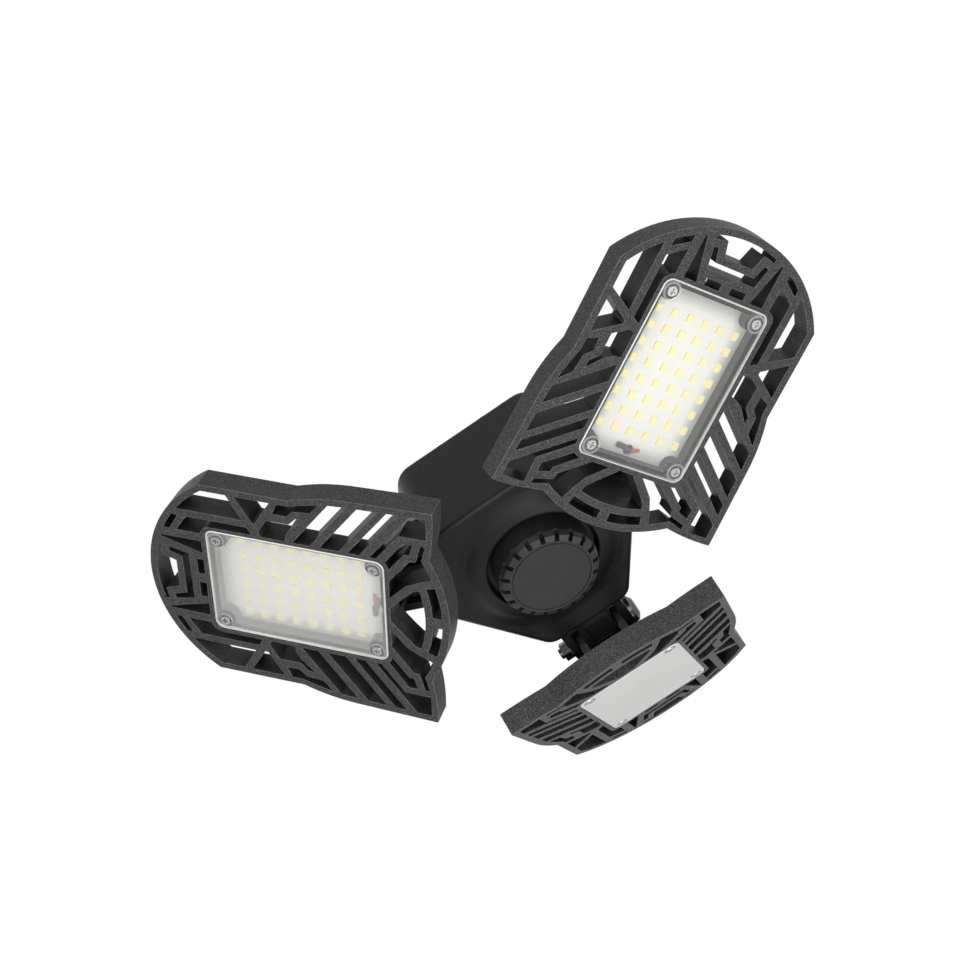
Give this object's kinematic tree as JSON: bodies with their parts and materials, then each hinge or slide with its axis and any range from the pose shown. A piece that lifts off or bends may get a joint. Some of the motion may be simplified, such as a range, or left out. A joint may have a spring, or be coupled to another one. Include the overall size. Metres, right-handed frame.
{
  "type": "folding_panel_screw_base_light",
  "caption": "Folding garage light: black driver housing on a lamp screw base, with three pierced dark grey heat-sink panels on hinges, each with a frosted lens over an LED board.",
  "frame": {"origin": "on the lamp's axis at the shoulder of the back cover's neck, where the screw shell starts", "axes": "+Z points out of the screw base to the socket; +X points to panel 3's hinge; +Y completes the right-handed frame"},
  "size_m": [0.2799, 0.3048, 0.1234],
  "materials": {
    "housing_coat": "smooth satin black moulded housing",
    "panel_coat": "die-cast, with a speckled dark grey powder coat",
    "cap_plastic": "dark grey moulded plastic",
    "lens_plastic": "frosted white translucent polycarbonate",
    "board_white": "white solder mask on an aluminium board",
    "phosphor": "yellow phosphor in white LED packages",
    "shell_metal": "nickel-plated shell",
    "contact_metal": "solder-tinned brass contact",
    "insulator": "black glazed insulator",
    "screw_steel": "bright zinc-plated steel",
    "grommet_rubber": "black rubber",
    "driver_green": "green solder mask",
    "red_pvc": "red lead insulation",
    "black_pvc": "black lead insulation and parts"
  },
  "bodies": {
    "driver_body": {"driver_housing": "housing_coat", "back_cover": "housing_coat", "vent_cap": "cap_plastic", "screw_shell": "shell_metal", "base_insulator": "insulator", "centre_contact": "contact_metal", "driver_board": "driver_green", "filter_coil": "contact_metal", "filter_capacitors": "black_pvc", "bridge_rectifier": "black_pvc", "output_connectors": "board_white", "input_fuse": "board_white", "cover_screws": "screw_steel", "hinge_bolt_1": "screw_steel", "hinge_washers_1": "screw_steel", "hinge_nut_1": "screw_steel", "hinge_bolt_2": "screw_steel", "hinge_washers_2": "screw_steel", "hinge_nut_2": "screw_steel", "hinge_bolt_3": "screw_steel", "hinge_washers_3": "screw_steel", "hinge_nut_3": "screw_steel"},
    "panel_1": {"heat_sink_1": "panel_coat", "lens_1": "lens_plastic", "led_board_1": "board_white", "led_chips_1": "phosphor", "lens_screws_1": "screw_steel", "lead_grommet_1": "grommet_rubber", "red_lead_1": "red_pvc", "black_lead_1": "black_pvc"},
    "panel_2": {"heat_sink_2": "panel_coat", "lens_2": "lens_plastic", "led_board_2": "board_white", "led_chips_2": "phosphor", "lens_screws_2": "screw_steel", "lead_grommet_2": "grommet_rubber", "red_lead_2": "red_pvc", "black_lead_2": "black_pvc"},
    "panel_3": {"heat_sink_3": "panel_coat", "lens_3": "lens_plastic", "led_board_3": "board_white", "led_chips_3": "phosphor", "lens_screws_3": "screw_steel", "lead_grommet_3": "grommet_rubber", "red_lead_3": "red_pvc", "black_lead_3": "black_pvc"}
  },
  "joints": [
    {"name": "hinge_1", "type": "hinge", "parent": "driver_body", "child": "panel_1", "pos_m": [-0.032, 0.05543, -0.054], "axis": [0.866, 0.5, 0], "range_deg": [-38.7, 56.3]},
    {"name": "hinge_2", "type": "hinge", "parent": "driver_body", "child": "panel_2", "pos_m": [-0.032, -0.05543, -0.054], "axis": [-0.866, 0.5, 0], "range_deg": [-12, 83]},
    {"name": "hinge_3", "type": "hinge", "parent": "driver_body", "child": "panel_3", "pos_m": [0.064, 0, -0.054], "axis": [0, -1, 0], "range_deg": [-34.3, 60.7]}
  ]
}
